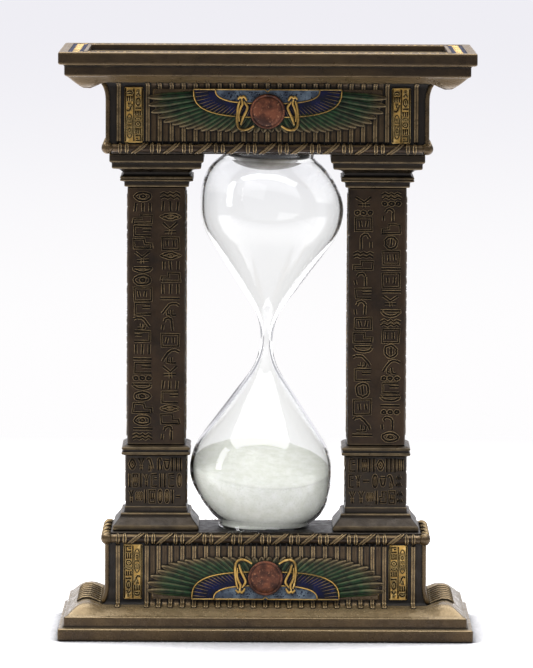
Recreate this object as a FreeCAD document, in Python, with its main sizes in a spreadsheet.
import FreeCAD, Part
import math
import os

import Sketcher

# Reversible sand hourglass with Egyptian-style ends.
# Frame: +X to the right, +Y to the back, +Z up, origin at the centre of the bottom face. Millimetres.
# Both ends are the same casting, the upper one turned over about the Y axis.

DRIVING_SIZES = [
    ("total_height", 207.0, "outer face to outer face"),
    ("end_length", 146.0, "end slab, along X"),
    ("end_depth", 72.3, "end slab, along Y"),
    ("platform_height", 36.5, "outer face to inner face of one end"),
    ("edge_height", 4.4, "plain edge of the slab"),
    ("step_height", 8.3, "top of the second step"),
    ("step_inset", 2.1, "second step behind the edge"),
    ("crest_height", 12.9, "top of the crest round the block"),
    ("crest_inset", 9.2, "outer line of the crest behind the edge"),
    ("crest_width", 1.6, "flat of the crest"),
    ("crest_dip", 1.3, "front and back crests below the side ones"),
    ("dip_length", 114.0, "length of the dipped crest"),
    ("dip_run", 5.0, "slope at each end of the dip"),
    ("bed_height", 10.1, "bed of the frieze block in the slab"),
    ("bed_clearance", 0.2, "bed round the foot of the frieze block"),
    ("edge_round", 0.5, "rounding of the slab's step edges"),
    ("rim_width", 3.3, "flat rim of the outer face"),
    ("border_width", 5.3, "border let in behind the rim"),
    ("border_depth", 0.6, "depth of the border's groove"),
    ("border_sink", 0.15, "border's face below the rim"),
    ("fillet_strip", 1.2, "thin rim inside the border"),
    ("recess_depth", 1.3, "middle recess of the outer face"),
    ("seat_wall", 2.0, "frieze block's wall round the glass seat"),
    ("platform_margin", 0.55, "frieze block past the pillar's abacus"),
    ("cove_radius", 2.4, "cavetto at the foot of the frieze wall"),
    ("cove_lip", 0.4, "upright lip under the cavetto"),
    ("roll_radius", 1.85, "bound roll"),
    ("roll_drop", 2.15, "roll's centre below the platform"),
    ("strip_width", 6.6, "glyph strip"),
    ("strip_inset", 9.25, "glyph strip's centre from the block's end"),
    ("strip_thickness", 0.7, "glyph strip stands out of the wall"),
    ("wing_lift", 0.1, "straight edge of the winged disc above the cavetto"),
    ("wing_thickness", 1.0, "wing plates stand out of the wall"),
    ("feather_gap", 1.7, "outer tier's tips from the glyph strips"),
    ("feather_reach", 15.1, "outer tier, height"),
    ("feather_corner", 11.5, "outer tier, corner radius"),
    ("covert_width", 52.0, "middle tier, tip to tip"),
    ("covert_reach", 9.2, "middle tier, height"),
    ("covert_corner", 7.0, "middle tier, corner radius"),
    ("shoulder_width", 36.6, "inner tier, tip to tip"),
    ("shoulder_reach", 4.6, "inner tier, height"),
    ("shoulder_corner", 3.6, "inner tier, corner radius"),
    ("disc_radius", 6.1, "sun disc"),
    ("disc_height", 20.7, "sun disc's centre from the outer face"),
    ("disc_edge", 0.8, "sun disc's edge thickness"),
    ("disc_dome", 0.8, "rise of the sun disc's dome"),
    ("tail_width", 1.6, "cobra tails round the disc"),
    ("hood_length", 11.8, "cobra hood"),
    ("hood_width", 3.4, "cobra hood"),
    ("hood_overlap", 0.4, "cobra hoods run into the tails"),
    ("hood_base", 2.6, "cobra hood's lower end above the wing's edge"),
    ("cobra_thickness", 0.9, "cobras stand out of the plates"),
    ("pillar_gap", 0.77, "shaft from the bulb at its furthest"),
    ("pedestal_height", 30.1, "pillar foot, from the platform"),
    ("capital_height", 12.1, "pillar head, to the upper platform"),
    ("shaft_half", 10.3, "half-width of the shaft"),
    ("shaft_round", 0.8, "rounding of the shaft's edges"),
    ("base_out", 4.95, "pillar base lip beyond the shaft"),
    ("base_lip", 1.5, "pillar base lip, height"),
    ("base_slope", 3.4, "slope above the base lip, height"),
    ("plinth_out", 2.1, "step above the slope beyond the shaft"),
    ("plinth_height", 1.4, "step above the slope, height"),
    ("band_out", 0.9, "band over the step beyond the shaft"),
    ("band_height", 2.2, "band over the step, height"),
    ("panel_out", 0.45, "engraved panel beyond the shaft"),
    ("ledge_out", 1.9, "ledge over the panel beyond the shaft"),
    ("ledge_height", 2.5, "ledge over the panel, height"),
    ("ledge_cove", 1.0, "cove over the ledge"),
    ("collar_out", 1.1, "collar beyond the shaft"),
    ("collar_height", 1.9, "collar on the shaft, height"),
    ("torus_out", 2.6, "neck torus beyond the shaft"),
    ("torus_height", 1.8, "neck torus, height"),
    ("neck_out", 1.4, "narrowest of the neck cove beyond the shaft"),
    ("neck_height", 3.0, "neck cove, height"),
    ("lower_abacus_out", 5.45, "lower abacus beyond the shaft"),
    ("lower_abacus_height", 2.2, "lower abacus, height"),
    ("upper_abacus_out", 6.3, "upper abacus beyond the shaft"),
    ("dowel_radius", 3.0, "steel dowel"),
    ("dowel_depth", 10.0, "dowel's length in each piece"),
    ("glass_shift", 2.53, "the glass leans: its feet stand off the middle, left below and right above"),
    ("glass_wall", 1.1, "glass thickness"),
    ("waist_radius", 2.1, "outside of the waist"),
    ("flare_radius", 22.0, "hollow curve from the waist"),
    ("belly_radius", 21.5, "full curve up to the widest place"),
    ("bulb_radius", 25.4, "outside of the bulb"),
    ("turn_radius", 17.0, "curve from the widest place to the foot"),
    ("foot_radius", 16.4, "outside of the open foot"),
    ("foot_length", 6.6, "straight wall of the foot"),
    ("seat_depth", 2.2, "glass seat in the platform"),
    ("plug_dome", 2.4, "dome of the end plug over the platform"),
    ("sand_front", 16.0, "sand surface over the platform at the front of the bulb"),
    ("sand_slope", 15.0, "degrees, sand rises to the back"),
    ("sand_bank", 4.5, "degrees, sand falls to the right"),
    ("sand_rise", 0.7, "sand stands this much over the plug's edge"),
    ("seat_clearance", 0.9, "round the leaning glass foot"),
    ("plug_clearance", 0.35, "between plug and leaning glass"),
    ("fit_clearance", 0.05, "bonded pieces in their seats"),
]

doc = FreeCAD.newDocument("Hourglass")
sheet = doc.addObject("Spreadsheet::Sheet", "Sizes")


class Size:
    """A length or angle with its number and the expression that gives it."""

    def __init__(self, number, text):
        self.number = float(number)
        self.text = text

    def _join(self, other, sign, number, swap=False):
        text = other.text if isinstance(other, Size) else "%g" % other
        left, right = (text, self.text) if swap else (self.text, text)
        return Size(number, "(%s %s %s)" % (left, sign, right))

    def __add__(self, other):
        return self._join(other, "+", self.number + plain(other))

    def __sub__(self, other):
        return self._join(other, "-", self.number - plain(other))

    def __rsub__(self, other):
        return self._join(other, "-", plain(other) - self.number, swap=True)

    def __mul__(self, other):
        return self._join(other, "*", self.number * plain(other))

    def __truediv__(self, other):
        return self._join(other, "/", self.number / plain(other))

    def __neg__(self):
        return Size(-self.number, "(0 - %s)" % self.text)


def plain(value):
    return value.number if isinstance(value, Size) else float(value)


def root(size):
    return Size(math.sqrt(size.number), "sqrt(%s)" % size.text)


def larger(one, other):
    return Size(max(one.number, other.number), "max(%s; %s)" % (one.text, other.text))


def angle_of(across, along):
    """The angle, in degrees, whose tangent is across over along."""
    number = math.degrees(math.atan2(across.number, along.number))
    return Size(number, "atan(%s / %s)" % (across.text, along.text))


def write_sheet():
    sizes = {}
    for row, (alias, number, note) in enumerate(DRIVING_SIZES, start=1):
        sheet.set("A%d" % row, alias)
        sheet.set("B%d" % row, "%g" % number)
        sheet.set("C%d" % row, note)
        sheet.setAlias("B%d" % row, alias)
        sizes[alias] = Size(number, "Sizes." + alias)
    doc.recompute()
    return sizes


S = write_sheet()
ZERO = Size(0, "0")


def bind(item, **values):
    for name, value in values.items():
        setattr(item, name, value.number)
        item.setExpression(name, value.text)
    return item


def move(item, x=ZERO, y=ZERO, z=ZERO, turn=None):
    """Places an object; the three coordinates stay bound to the sheet."""
    rotation = turn or FreeCAD.Rotation()
    item.Placement = FreeCAD.Placement(FreeCAD.Vector(x.number, y.number, z.number), rotation)
    for axis, value in (("x", x), ("y", y), ("z", z)):
        if value is not ZERO:
            item.setExpression("Placement.Base." + axis, value.text)
    return item


TURN_OVER = FreeCAD.Rotation(FreeCAD.Vector(0, 1, 0), 180)
HALF_TURN = FreeCAD.Rotation(FreeCAD.Vector(0, 0, 1), 180)
UPRIGHT = FreeCAD.Rotation()
ENDS = {"lower": (ZERO, UPRIGHT), "upper": (S["total_height"], TURN_OVER)}
FACES = {"front": UPRIGHT, "back": HALF_TURN}
SIDES = {"left": -1, "right": 1}

nodes = []


def keep(item, label):
    """Names a finished sub-part after its node."""
    item.Label = label
    nodes.append(item)
    return item


# ---------------------------------------------------------------- sketches and features


def new_body(name):
    return doc.addObject("PartDesign::Body", name)


def plane_of(body, role):
    return next(item for item in body.Origin.OriginFeatures if item.Role == role)


def new_sketch(body, name, role="XY_Plane", offset=None):
    sketch = body.newObject("Sketcher::SketchObject", name)
    sketch.AttachmentSupport = [(plane_of(body, role), "")]
    sketch.MapMode = "FlatFace"
    if offset is not None:
        sketch.AttachmentOffset = FreeCAD.Placement(FreeCAD.Vector(0, 0, offset.number), UPRIGHT)
        sketch.setExpression("AttachmentOffset.Base.z", offset.text)
    return sketch


def pin_point(sketch, geometry, point, x=None, y=None):
    """Fixes one point of a sketch by its distances from the origin."""
    for kind, value in (("DistanceX", x), ("DistanceY", y)):
        if value is None:
            continue
        if abs(value.number) < 1e-9 and value is ZERO:
            axis = -2 if kind == "DistanceX" else -1
            sketch.addConstraint(Sketcher.Constraint("PointOnObject", geometry, point, axis))
            continue
        index = sketch.addConstraint(Sketcher.Constraint(kind, -1, 1, geometry, point, value.number))
        sketch.setExpression("Constraints[%d]" % index, value.text)


def draw(sketch, corners):
    """Draws one closed outline. A corner is (x, y), or (x, y, centre x, centre y, way) where an arc
    about that centre leads to the next corner, way being 1 for anticlockwise and -1 for clockwise."""
    first = sketch.GeometryCount
    count = len(corners)
    for number, corner in enumerate(corners):
        after = corners[(number + 1) % count]
        start = FreeCAD.Vector(corner[0].number, corner[1].number, 0)
        end = FreeCAD.Vector(after[0].number, after[1].number, 0)
        if len(corner) == 2:
            sketch.addGeometry(Part.LineSegment(start, end), False)
            continue
        centre = FreeCAD.Vector(corner[2].number, corner[3].number, 0)
        circle = Part.Circle(centre, FreeCAD.Vector(0, 0, 1), start.distanceToPoint(centre))
        from_angle = math.atan2(start.y - centre.y, start.x - centre.x)
        to_angle = math.atan2(end.y - centre.y, end.x - centre.x)
        if corner[4] < 0:
            from_angle, to_angle = to_angle, from_angle
        if to_angle <= from_angle:
            to_angle += 2 * math.pi
        sketch.addGeometry(Part.ArcOfCircle(circle, from_angle, to_angle), False)
    ends = []
    for number, corner in enumerate(corners):
        reverse = len(corner) == 5 and corner[4] < 0
        ends.append((2, 1) if reverse else (1, 2))
    for number, corner in enumerate(corners):
        geometry = first + number
        before = (number - 1) % count
        sketch.addConstraint(
            Sketcher.Constraint("Coincident", first + before, ends[before][1], geometry, ends[number][0])
        )
        x, y = corner[0], corner[1]
        arc = corners[before]
        if len(arc) == 5:
            across = abs(corner[0].number - arc[2].number)
            along = abs(corner[1].number - arc[3].number)
            x, y = (None, y) if across > along else (x, None)
        pin_point(sketch, geometry, ends[number][0], x, y)
        if len(corner) == 5:
            pin_point(sketch, geometry, 3, corner[2], corner[3])


def draw_rectangle(sketch, half_x, half_y):
    draw(sketch, [(-half_x, -half_y), (half_x, -half_y), (half_x, half_y), (-half_x, half_y)])


def pad(body, sketch, length, reverse=False, midplane=False):
    feature = body.newObject("PartDesign::Pad", sketch.Name + "_Pad")
    feature.Profile = sketch
    bind(feature, Length=length)
    feature.Reversed = reverse
    if midplane:
        feature.SideType = "Symmetric"
    return feature


def pad_slab(body, name, half_x, half_y, low, high):
    """A rectangular block between two heights."""
    sketch = new_sketch(body, name, "XY_Plane", low)
    draw_rectangle(sketch, half_x, half_y)
    return pad(body, sketch, high - low)


def loft(body, kind, name, levels):
    """A straight-sided loft through rectangles, each (half_x, half_y, height)."""
    sketches = []
    for number, (half_x, half_y, height) in enumerate(levels):
        sketch = new_sketch(body, "%s_%d" % (name, number), "XY_Plane", height)
        draw_rectangle(sketch, half_x, half_y)
        sketches.append(sketch)
    feature = body.newObject("PartDesign::" + kind, name)
    feature.Profile = sketches[0]
    feature.Sections = sketches[1:]
    feature.Ruled = True
    return feature


def revolve(body, sketch):
    feature = body.newObject("PartDesign::Revolution", sketch.Name + "_Revolution")
    feature.Profile = sketch
    feature.ReferenceAxis = (sketch, ["V_Axis"])
    feature.Angle = 360
    return feature


def cut_or_stop(body, feature, before):
    """A cut that removes nothing shows no error of its own, so the volumes are compared."""
    doc.recompute()
    if feature.Shape.Volume >= before - 0.01:
        raise RuntimeError("%s removes nothing" % feature.Label)


def pocket(body, sketch, depth, reverse, midplane=False):
    doc.recompute()
    before = body.Shape.Volume
    feature = body.newObject("PartDesign::Pocket", sketch.Name + "_Pocket")
    feature.Profile = sketch
    bind(feature, Length=depth)
    feature.Reversed = reverse
    if midplane:
        feature.SideType = "Symmetric"
    cut_or_stop(body, feature, before)
    return feature


def round_edges(body, name, radius, chosen):
    """Rounds the edges of the finished body that the test picks."""
    doc.recompute()
    base = body.Tip
    picked = [
        "Edge%d" % (number + 1) for number, edge in enumerate(base.Shape.Edges) if chosen(edge.BoundBox)
    ]
    feature = body.newObject("PartDesign::Fillet", name)
    feature.Base = (base, picked)
    bind(feature, Radius=radius)
    return feature


def moulded(name, half_outline, half_x, half_y):
    """A four-sided moulded piece with mitred corners: what two crossed prisms have in common.
    half_outline(half) gives the right-hand outline from bottom to top for a nominal half-width."""
    bodies = []
    for role, half, other in (("XZ_Plane", half_x, half_y), ("YZ_Plane", half_y, half_x)):
        body = new_body("%s_%s" % (name, role[:2]))
        sketch = new_sketch(body, "%s_%s_Outline" % (name, role[:2]), role)
        draw(sketch, mirrored_outline(half_outline(half)))
        reach = other * 2 + 40
        pad(body, sketch, reach, midplane=True)
        bodies.append(body)
    both = doc.addObject("Part::Common", name)
    both.Base = bodies[0]
    both.Tool = bodies[1]
    return both


def mirrored_outline(right):
    """Closes a right-hand outline, bottom to top, with its mirror image on the left."""
    corners = [corner for corner in right]
    backwards = list(reversed(right))
    for number, corner in enumerate(backwards):
        source = backwards[number + 1] if number + 1 < len(backwards) else None
        if source is not None and len(source) == 5:
            corners.append((-corner[0], corner[1], -source[2], source[3], source[4]))
        else:
            corners.append((-corner[0], corner[1]))
    return corners


def cylinder(name, radius, height, x=ZERO, y=ZERO, z=ZERO, turn=None):
    item = doc.addObject("Part::Cylinder", name)
    bind(item, Radius=radius, Height=height)
    return move(item, x, y, z, turn)


def box(name, length, width, height, x, y, z):
    """A box by its lowest corner."""
    item = doc.addObject("Part::Box", name)
    bind(item, Length=length, Width=width, Height=height)
    return move(item, x, y, z)


def joined(name, items):
    item = doc.addObject("Part::MultiFuse", name)
    item.Shapes = items
    item.Refine = False
    return item


def cut(name, base, tools):
    item = doc.addObject("Part::Cut", name)
    item.Base = base
    item.Tool = tools[0] if len(tools) == 1 else joined(name + "_Tools", tools)
    return item


# ---------------------------------------------------------------- shared places

HALF_LENGTH = S["end_length"] / 2
HALF_DEPTH = S["end_depth"] / 2
# the pillars stand clear of the bulbs with their shafts and of the glass feet with their heads
PAST_BULB = S["bulb_radius"] + S["pillar_gap"] + S["shaft_half"]
ABACUS_HALF = S["shaft_half"] + S["upper_abacus_out"]
PAST_FOOT = S["foot_radius"] + S["seat_clearance"] + S["pillar_gap"] + ABACUS_HALF
PILLAR_X = larger(PAST_BULB, PAST_FOOT) + S["glass_shift"]
WALL_X = PILLAR_X + ABACUS_HALF + S["platform_margin"]
WALL_Y = S["foot_radius"] + S["seat_clearance"] + S["seat_wall"]
ROLL_HEIGHT = S["platform_height"] - S["roll_drop"]
COVE_LOW = S["bed_height"] + S["cove_lip"]
COVE_TOP = COVE_LOW + S["cove_radius"]
WING_BASE = COVE_TOP + S["wing_lift"]
MIDDLE = S["total_height"] / 2
LEAN_RUN = MIDDLE - S["platform_height"]
LEAN_SPAN = root(LEAN_RUN * LEAN_RUN + S["glass_shift"] * S["glass_shift"])
SEAT_FLOOR = S["platform_height"] - S["seat_depth"]
INNER_FOOT = S["foot_radius"] - S["glass_wall"]
PLUG_RADIUS = INNER_FOOT - S["plug_clearance"]
PLUG_TOP = S["platform_height"] + S["plug_dome"]
STRIP_X = WALL_X - S["strip_inset"]
FEATHER_SPAN = (STRIP_X - S["strip_width"] / 2 - S["feather_gap"]) * 2
UPPER_PLATFORM = S["total_height"] - S["platform_height"]
SHAFT_LOW = S["platform_height"] + S["pedestal_height"]
SHAFT_HIGH = UPPER_PLATFORM - S["capital_height"]


# ---------------------------------------------------------------- one end, outer face at z = 0


def slab(end):
    """Stepped slab: plain edge, second step, and a sloping crest round the bed of the frieze block."""
    body = new_body(end + "_slab_body")
    edge_z, step_z, crest_z = S["edge_height"], S["step_height"], S["crest_height"]
    pad_slab(body, end + "_Edge", HALF_LENGTH, HALF_DEPTH, ZERO + 0, edge_z)
    step_x, step_y = HALF_LENGTH - S["step_inset"], HALF_DEPTH - S["step_inset"]
    pad_slab(body, end + "_Step", step_x, step_y, edge_z, step_z)
    crest_x, crest_y = HALF_LENGTH - S["crest_inset"], HALF_DEPTH - S["crest_inset"]
    loft(body, "AdditiveLoft", end + "_Crest", [(step_x, step_y, step_z), (crest_x, crest_y, crest_z)])
    doc.recompute()
    before = body.Shape.Volume
    bed_reach = S["cove_radius"] + S["bed_clearance"]
    bed_x, bed_y = WALL_X + bed_reach, WALL_Y + bed_reach
    brink_x, brink_y = crest_x - S["crest_width"], crest_y - S["crest_width"]
    bed = [(bed_x, bed_y, S["bed_height"]), (brink_x, brink_y, crest_z)]
    cut_or_stop(body, loft(body, "SubtractiveLoft", end + "_Bed", bed), before)

    dip = new_sketch(body, end + "_Dip", "XZ_Plane")
    low, high = crest_z - S["crest_dip"], crest_z + 1
    near, far = S["dip_length"] / 2, S["dip_length"] / 2 + S["dip_run"]
    draw(dip, [(-near, low), (near, low), (far, high), (-far, high)])
    pocket(body, dip, S["end_depth"] * 2, False, midplane=True)

    groove = new_sketch(body, end + "_BorderGroove", "XY_Plane")
    draw_rectangle(groove, HALF_LENGTH - S["rim_width"], HALF_DEPTH - S["rim_width"])
    inner = S["rim_width"] + S["border_width"]
    draw_rectangle(groove, HALF_LENGTH - inner, HALF_DEPTH - inner)
    pocket(body, groove, S["border_depth"], True)
    recess = new_sketch(body, end + "_Recess", "XY_Plane")
    edge = inner + S["fillet_strip"]
    draw_rectangle(recess, HALF_LENGTH - edge, HALF_DEPTH - edge)
    pocket(body, recess, S["recess_depth"], True)

    def step_edge(bounds):
        level = bounds.ZLength < 0.01 and abs(bounds.ZMax - edge_z.number) < 0.01
        at_end = bounds.XLength < 0.01 and abs(abs(bounds.XMin) - HALF_LENGTH.number) < 0.01
        at_side = bounds.YLength < 0.01 and abs(abs(bounds.YMin) - HALF_DEPTH.number) < 0.01
        return level and (at_end or at_side)

    round_edges(body, end + "_EdgeRound", S["edge_round"], step_edge)
    return body


def border_inlay(end):
    """Flat band in the groove of the outer face."""
    body = new_body(end + "_border_body")
    sketch = new_sketch(body, end + "_Border", "XY_Plane", S["border_sink"])
    outer = S["rim_width"] + S["fit_clearance"]
    inner = S["rim_width"] + S["border_width"] - S["fit_clearance"]
    draw_rectangle(sketch, HALF_LENGTH - outer, HALF_DEPTH - outer)
    draw_rectangle(sketch, HALF_LENGTH - inner, HALF_DEPTH - inner)
    pad(body, sketch, S["border_depth"] - S["border_sink"])
    return body


def roll_rods(name, radius):
    """Four rods with ball corners round the top of the frieze wall."""
    along_x = FreeCAD.Rotation(FreeCAD.Vector(0, 1, 0), 90)
    along_y = FreeCAD.Rotation(FreeCAD.Vector(1, 0, 0), -90)
    rods = []
    for number, way in enumerate((-1, 1)):
        long_rod, short_rod = "%s_X%d" % (name, number), "%s_Y%d" % (name, number)
        long_place = (-WALL_X, WALL_Y * way, ROLL_HEIGHT, along_x)
        short_place = (WALL_X * way, -WALL_Y, ROLL_HEIGHT, along_y)
        rods.append(cylinder(long_rod, radius, WALL_X * 2, *long_place))
        rods.append(cylinder(short_rod, radius, WALL_Y * 2, *short_place))
        for other in (-1, 1):
            ball = doc.addObject("Part::Sphere", "%s_Ball%d%d" % (name, number, other + 1))
            bind(ball, Radius=radius)
            rods.append(move(ball, WALL_X * way, WALL_Y * other, ROLL_HEIGHT))
    return joined(name, rods)


def frieze_outline(half):
    """Half of the block's section: cavetto foot, then the upright wall."""
    foot = half + S["cove_radius"]
    return [
        (foot, S["bed_height"]),
        (foot, COVE_LOW, foot, COVE_TOP, -1),
        (half, COVE_TOP),
        (half, S["platform_height"]),
    ]


def frieze_block(end):
    """Oblong block with the glass seat, the dowel holes and the groove of the roll."""
    block = moulded(end + "_Block", frieze_outline, WALL_X, WALL_Y)
    tools = [roll_rods(end + "_RollGroove", S["roll_radius"] + S["fit_clearance"])]
    seat_radius = S["foot_radius"] + S["seat_clearance"]
    tools.append(
        cylinder(end + "_Seat", seat_radius, S["seat_depth"] + 5, -S["glass_shift"], ZERO, SEAT_FLOOR)
    )
    hole = S["dowel_radius"] + S["fit_clearance"]
    for side, way in SIDES.items():
        floor = S["platform_height"] - S["dowel_depth"]
        tools.append(
            cylinder("%s_%s_Hole" % (end, side), hole, S["dowel_depth"] + 5, PILLAR_X * way, ZERO, floor)
        )
    return cut(end + "_FriezeBlock", block, tools)


def glyph_strips(end):
    """Four upright gold strips on the front and back of the block."""
    low = COVE_TOP
    high = ROLL_HEIGHT - S["roll_radius"] - S["fit_clearance"]
    strips = []
    for side, way in SIDES.items():
        for face, y in (("front", -WALL_Y - S["strip_thickness"]), ("back", WALL_Y)):
            x = STRIP_X * way - S["strip_width"] / 2
            name = "%s_Strip_%s_%s" % (end, face, side)
            strips.append(box(name, S["strip_width"], S["strip_thickness"], high - low, x, y, low))
    return joined(end + "_Strips", strips)


def tier_corners(width, reach, corner):
    """Outer line of a wing tier, from the right end of its straight edge to the left end."""
    half, low = width / 2, WING_BASE
    high = low + reach
    return [
        (half, low),
        (half, high - corner, half - corner, high - corner, 1),
        (half - corner, high),
        (corner - half, high, corner - half, high - corner, 1),
        (-half, high - corner),
        (-half, low),
    ]


def tier_plate(end, face, name, outer, inner=None):
    """One flat tier of the wings; the next smaller tier leaves its own outline open."""
    body = new_body("%s_%s_%s_body" % (end, face, name))
    sketch = new_sketch(body, "%s_%s_%s_outline" % (end, face, name), "XZ_Plane", WALL_Y)
    corners = tier_corners(*outer)
    if inner is not None:
        gap = S["fit_clearance"]
        width, reach, corner = inner
        inside = tier_corners(width + gap * 2, reach + gap, corner + gap)
        back = list(reversed(inside))
        way_back = []
        for number, point in enumerate(back):
            source = back[number + 1] if number + 1 < len(back) else None
            if source is not None and len(source) == 5:
                way_back.append((point[0], point[1], source[2], source[3], -1))
            else:
                way_back.append((point[0], point[1]))
        corners = corners + way_back
    draw(sketch, corners)
    pad(body, sketch, S["wing_thickness"])
    return body


def sun_disc(end, face):
    """Low dome on a short round edge, standing on the wing plates."""
    body = new_body("%s_%s_disc_body" % (end, face))
    sketch = new_sketch(body, "%s_%s_Disc" % (end, face), "XY_Plane", S["disc_height"])
    back = -(WALL_Y + S["wing_thickness"])
    brim = back - S["disc_edge"]
    top = brim - S["disc_dome"]
    dome = (S["disc_radius"] * S["disc_radius"] / S["disc_dome"] + S["disc_dome"]) / 2
    radius = S["disc_radius"]
    draw(sketch, [(ZERO, back), (ZERO, top, ZERO, top + dome, 1), (radius, brim), (radius, back)])
    revolve(body, sketch)
    return body


def cobras(end, face):
    """Two long oval hoods joined by the tails, which run round the disc."""
    name = "%s_%s_Cobra" % (end, face)
    face_y = -(WALL_Y + S["wing_thickness"])
    outward = FreeCAD.Rotation(FreeCAD.Vector(1, 0, 0), 90)
    ring_radius = S["disc_radius"] + S["fit_clearance"] + S["tail_width"]
    hood_x = ring_radius + S["hood_width"] / 2 - S["hood_overlap"]
    pieces = [
        cylinder(name + "Tail", ring_radius, S["cobra_thickness"], ZERO, face_y, S["disc_height"], outward)
    ]
    for side, way in SIDES.items():
        hood = doc.addObject("Part::Ellipse", name + side + "_Outline")
        bind(hood, MajorRadius=S["hood_length"] / 2, MinorRadius=S["hood_width"] / 2)
        solid = doc.addObject("Part::Extrusion", name + side)
        solid.Base = hood
        solid.DirMode = "Custom"
        solid.Dir = FreeCAD.Vector(0, -1, 0)
        solid.Solid = True
        bind(solid, LengthFwd=S["cobra_thickness"])
        height = WING_BASE + S["hood_base"] + S["hood_length"] / 2
        upright = FreeCAD.Rotation(FreeCAD.Vector(0, 1, 0), 90)
        stand = upright.multiply(outward)
        move(hood, hood_x * way, face_y, height, stand)
        pieces.append(solid)
    hole = cylinder(
        name + "Hole", S["disc_radius"] + S["fit_clearance"], S["cobra_thickness"] * 3, ZERO,
        face_y + S["cobra_thickness"], S["disc_height"], outward,
    )
    return cut(name + "Pair", joined(name + "Whole", pieces), [hole])


def plug_corners(gap):
    """Half section of the end plug, grown by a gap, about its own axis."""
    radius = PLUG_RADIUS + gap
    shoulder = S["platform_height"] + gap
    top = PLUG_TOP + gap
    rise = S["plug_dome"]
    dome = (radius * radius / rise + rise) / 2
    return [
        (ZERO, SEAT_FLOOR),
        (radius, SEAT_FLOOR),
        (radius, shoulder, ZERO, top - dome, 1),
        (ZERO, top),
    ]


def end_plug(name, gap=ZERO):
    """Plug that closes the glass foot: a short round block with a low dome."""
    body = new_body(name)
    sketch = new_sketch(body, name + "_Section", "XZ_Plane")
    draw(sketch, plug_corners(gap))
    revolve(body, sketch)
    return body


TIERS = {
    "feathers": (FEATHER_SPAN, S["feather_reach"], S["feather_corner"]),
    "coverts": (S["covert_width"], S["covert_reach"], S["covert_corner"]),
    "shoulders": (S["shoulder_width"], S["shoulder_reach"], S["shoulder_corner"]),
}


def build_end(end):
    height, turn = ENDS[end]
    for name, make in (
        ("slab", slab),
        ("border_inlay", border_inlay),
        ("frieze_block", frieze_block),
        ("glyph_strips", glyph_strips),
    ):
        keep(move(make(end), z=height, turn=turn), "%s_%s" % (end, name))
    keep(move(roll_rods(end + "_Roll", S["roll_radius"]), z=height, turn=turn), end + "_roll")
    for face, face_turn in FACES.items():
        whole_turn = turn.multiply(face_turn)
        inner = {"feathers": TIERS["coverts"], "coverts": TIERS["shoulders"], "shoulders": None}
        for name, outer in TIERS.items():
            plate = tier_plate(end, face, name, outer, inner[name])
            keep(move(plate, z=height, turn=whole_turn), "%s_%s_%s" % (end, face, name))
        keep(move(sun_disc(end, face), z=height, turn=whole_turn), "%s_%s_sun_disc" % (end, face))
        keep(move(cobras(end, face), z=height, turn=whole_turn), "%s_%s_cobras" % (end, face))
    shift = -S["glass_shift"] if end == "lower" else S["glass_shift"]
    keep(move(end_plug(end + "_plug_body"), x=shift, z=height, turn=turn), end + "_end_plug")


# ---------------------------------------------------------------- pillars, about their own axis


def beyond_shaft(projection):
    return S["shaft_half"] + S[projection]


def pedestal_outline(_):
    """Half section of the pillar foot, bottom to top."""
    z0 = S["platform_height"]
    z1 = z0 + S["base_lip"]
    z2 = z1 + S["base_slope"]
    z3 = z2 + S["plinth_height"]
    z4 = z3 + S["band_height"]
    top = SHAFT_LOW
    z6 = top - S["ledge_cove"]
    z5 = z6 - S["ledge_height"]
    base, plinth = beyond_shaft("base_out"), beyond_shaft("plinth_out")
    band, panel, ledge = beyond_shaft("band_out"), beyond_shaft("panel_out"), beyond_shaft("ledge_out")
    cove = S["shaft_half"] + S["ledge_cove"]
    return [
        (base, z0),
        (base, z1),
        (plinth, z2),
        (plinth, z3),
        (band, z3),
        (band, z4),
        (panel, z4),
        (panel, z5),
        (ledge, z5, ledge - S["ledge_height"] * 0.75, (z5 + z6) / 2, 1),
        (ledge, z6),
        (cove, z6, cove, top, -1),
        (S["shaft_half"], top),
    ]


def capital_outline(_):
    """Half section of the pillar head, bottom to top."""
    z0 = SHAFT_HIGH
    z1 = z0 + S["collar_height"]
    z2 = z1 + S["torus_height"]
    z3 = z2 + S["neck_height"]
    z4 = z3 + S["lower_abacus_height"]
    z5 = UPPER_PLATFORM
    collar, torus, neck = beyond_shaft("collar_out"), beyond_shaft("torus_out"), beyond_shaft("neck_out")
    lower_abacus, upper_abacus = beyond_shaft("lower_abacus_out"), beyond_shaft("upper_abacus_out")
    neck_reach = neck + S["neck_height"]
    return [
        (collar, z0),
        (collar, z1),
        (torus, z1, torus - S["torus_height"] * 0.75, (z1 + z2) / 2, 1),
        (torus, z2),
        (neck, z2, neck_reach, z2, -1),
        (neck_reach, z3),
        (lower_abacus, z3),
        (lower_abacus, z4),
        (upper_abacus, z4),
        (upper_abacus, z5),
    ]


def shaft(side):
    body = new_body(side + "_shaft_body")
    pad_slab(body, side + "_Shaft", S["shaft_half"], S["shaft_half"], SHAFT_LOW, SHAFT_HIGH)
    round_edges(body, side + "_ShaftRound", S["shaft_round"], lambda bounds: bounds.ZLength > 1)
    return body


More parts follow.
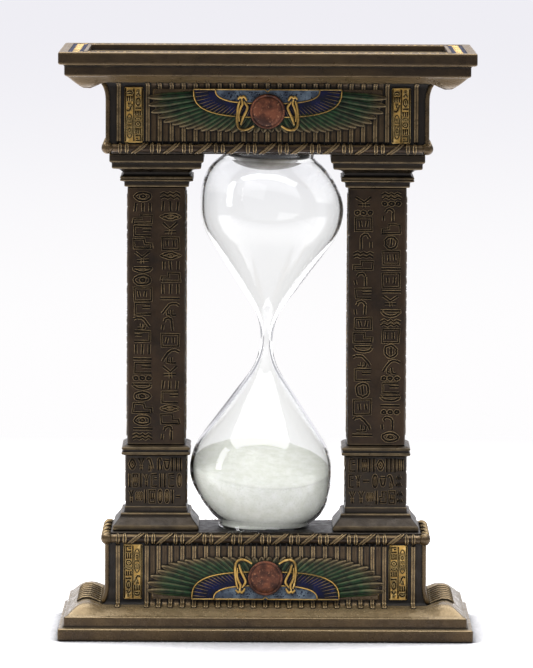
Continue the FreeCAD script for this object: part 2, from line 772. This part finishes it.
def build_pillar(side, way):
    x = PILLAR_X * way
    hole = S["dowel_radius"] + S["fit_clearance"]
    depth = S["dowel_depth"]
    for name, outline, platform, sink in (
        ("pedestal", pedestal_outline, S["platform_height"], 5),
        ("capital", capital_outline, UPPER_PLATFORM, -5),
    ):
        solid = moulded("%s_%s_Solid" % (side, name), outline, PILLAR_X, PILLAR_X)
        low = platform - 5 if sink > 0 else platform - depth
        drill = cylinder("%s_%s_Drill" % (side, name), hole, depth + 5, z=low)
        keep(move(cut("%s_%s_Cut" % (side, name), solid, [drill]), x=x), "%s_%s" % (side, name))
    keep(move(shaft(side), x=x), side + "_shaft")
    for end, platform in (("lower", S["platform_height"]), ("upper", UPPER_PLATFORM)):
        name = "%s_%s_dowel" % (side, end)
        pin = cylinder(name + "_Pin", S["dowel_radius"], depth * 2, x, ZERO, platform - depth)
        keep(pin, name)


# ---------------------------------------------------------------- glass and sand, about the waist


def foot_end():
    """Distance from the waist to the end of the glass foot, clear of the seat's floor."""
    tilt = S["foot_radius"] * S["glass_shift"] / LEAN_SPAN + S["fit_clearance"]
    return (MIDDLE - SEAT_FLOOR - tilt) * LEAN_SPAN / LEAN_RUN


def foot_reach(foot, inset):
    """How far past the widest place the turn meets a foot of this radius."""
    turn = S["turn_radius"] - inset
    across = foot - (S["bulb_radius"] - S["turn_radius"])
    return root(turn * turn - across * across)


def bulb_corners(inset):
    """One half of the glass outline moved in by an inset, from the waist up to the foot.
    A hollow flare, a straight cone, the belly and the turn to the foot, each tangent to the next."""
    widest = foot_end() - S["foot_length"] - foot_reach(S["foot_radius"], 0)
    flare_x = S["waist_radius"] + S["flare_radius"]
    belly_x = S["bulb_radius"] - S["belly_radius"]
    turn_x = S["bulb_radius"] - S["turn_radius"]
    # the cone is the line that touches both circles from between them
    inward = flare_x - belly_x
    span = root(inward * inward + widest * widest)
    share = (S["flare_radius"] + S["belly_radius"]) / span
    rest = root(1 - share * share)
    cosine = (inward * share + widest * rest) / span
    sine = (widest * share - inward * rest) / span
    flare = S["flare_radius"] + inset
    belly = S["belly_radius"] - inset
    foot = S["foot_radius"] - inset
    return [
        (S["waist_radius"] - inset, ZERO, flare_x, ZERO, -1),
        (flare_x - flare * cosine, flare * sine),
        (belly_x + belly * cosine, widest - belly * sine, belly_x, widest, 1),
        (S["bulb_radius"] - inset, widest, turn_x, widest, 1),
        (foot, widest + foot_reach(foot, inset)),
    ]


def lean(item, flip=0):
    """Turns a piece about the waist until its foot stands off the seat's middle."""
    angle = angle_of(S["glass_shift"], LEAN_RUN)
    move(item, z=MIDDLE, turn=FreeCAD.Rotation(FreeCAD.Vector(0, 1, 0), flip + angle.number))
    item.setExpression("Placement.Rotation.Angle", "%gdeg + %s" % (flip, angle.text))
    return item


def glass_ampoule():
    """One blown vessel: an open-footed bulb revolved about the axis and mirrored in the waist."""
    body = new_body("ampoule_body")
    sketch = new_sketch(body, "Ampoule_Section", "XZ_Plane")
    outside, inside = bulb_corners(ZERO), bulb_corners(S["glass_wall"])
    corners = outside + [(S["foot_radius"], foot_end()), (INNER_FOOT, foot_end())]
    back = list(reversed(inside))
    for number, point in enumerate(back):
        source = back[number + 1] if number + 1 < len(back) else None
        if source is not None and len(source) == 5:
            corners.append((point[0], point[1], source[2], source[3], -source[4]))
        else:
            corners.append((point[0], point[1]))
    draw(sketch, corners)
    half = revolve(body, sketch)
    both = body.newObject("PartDesign::Mirrored", "Ampoule_Mirrored")
    both.Originals = [half]
    both.MirrorPlane = (plane_of(body, "XY_Plane"), [""])
    body.Tip = both
    return lean(body)


def sand_charge():
    """What fills the lower bulb up to a sloping surface and lies on the end plug."""
    body = new_body("sand_body")
    sketch = new_sketch(body, "Sand_Section", "XZ_Plane")
    inset = S["glass_wall"] + S["fit_clearance"]
    low = MIDDLE - S["platform_height"] - S["sand_rise"]
    corners = bulb_corners(inset)
    axis_top = [(ZERO, low), (ZERO, ZERO)]
    draw(sketch, corners + [(S["foot_radius"] - inset, low)] + axis_top)
    revolve(body, sketch)
    lean(body, flip=180)
    bank = FreeCAD.Rotation(FreeCAD.Vector(0, 1, 0), S["sand_bank"].number)
    slope = FreeCAD.Rotation(FreeCAD.Vector(1, 0, 0), S["sand_slope"].number)
    front = S["platform_height"] + S["sand_front"]
    reach = S["bulb_radius"] * 4
    air = cylinder("Sand_Air", reach, reach, ZERO, -S["bulb_radius"], front, slope.multiply(bank))
    plug = move(end_plug("Sand_Plug", S["fit_clearance"]), x=-S["glass_shift"])
    return cut("SandCharge", body, [air, plug])


# ---------------------------------------------------------------- the whole object

for end in ENDS:
    build_end(end)
for side, way in SIDES.items():
    build_pillar(side, way)
keep(glass_ampoule(), "glass_ampoule")
keep(sand_charge(), "sand")
doc.recompute()

for item in doc.Objects:
    if "Invalid" in item.State or "Error" in item.State:
        raise RuntimeError("%s (%s) failed" % (item.Name, item.Label))
os.makedirs("parts", exist_ok=True)
for item in nodes:
    if item.Shape.isNull() or not item.Shape.isValid() or not item.Shape.Solids:
        raise RuntimeError("%s has no valid solid" % item.Label)
for item in nodes:
    item.Shape.exportStep("parts/%s.step" % item.Label)
print("%d sub-parts" % len(nodes))
